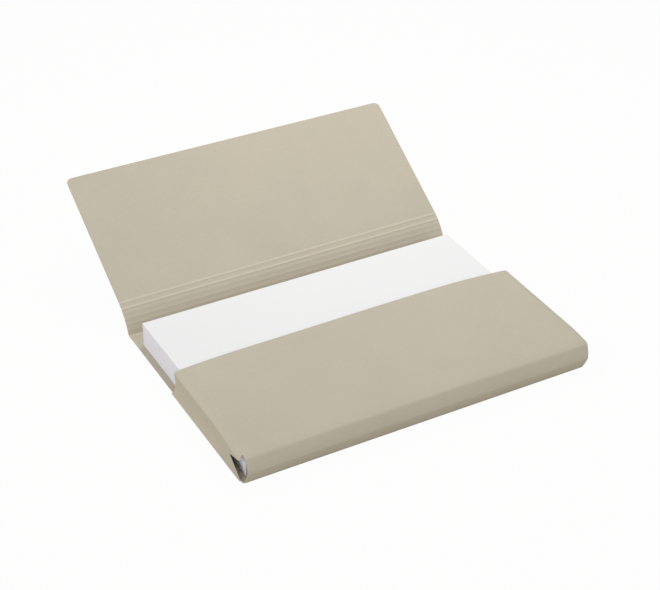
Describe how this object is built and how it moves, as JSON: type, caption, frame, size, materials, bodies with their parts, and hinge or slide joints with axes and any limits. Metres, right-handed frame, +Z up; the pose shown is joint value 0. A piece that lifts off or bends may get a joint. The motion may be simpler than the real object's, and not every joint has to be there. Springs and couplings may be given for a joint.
{
  "type": "pocket folder",
  "caption": "Gusseted card pocket folder with a creased spine and a fold-over flap, lying open with a stack of paper in its pocket.",
  "frame": {"origin": "middle of the base's underside", "axes": "+X along the folder's length, +Y from the pocket towards the flap, +Z up from the base"},
  "size_m": [0.3532, 0.3822, 0.0964],
  "materials": {
    "card": "matte uncoated card",
    "paper": "matte white paper"
  },
  "bodies": {
    "pocket": {"pocket": "card", "paper_stack": "paper"},
    "flap": {"flap": "card"}
  },
  "joints": [
    {"name": "flap_fold", "type": "hinge", "parent": "pocket", "child": "flap", "pos_m": [0, 0.13805, 0.02498], "axis": [1, 0, 0], "range_deg": [-40, 148]}
  ]
}
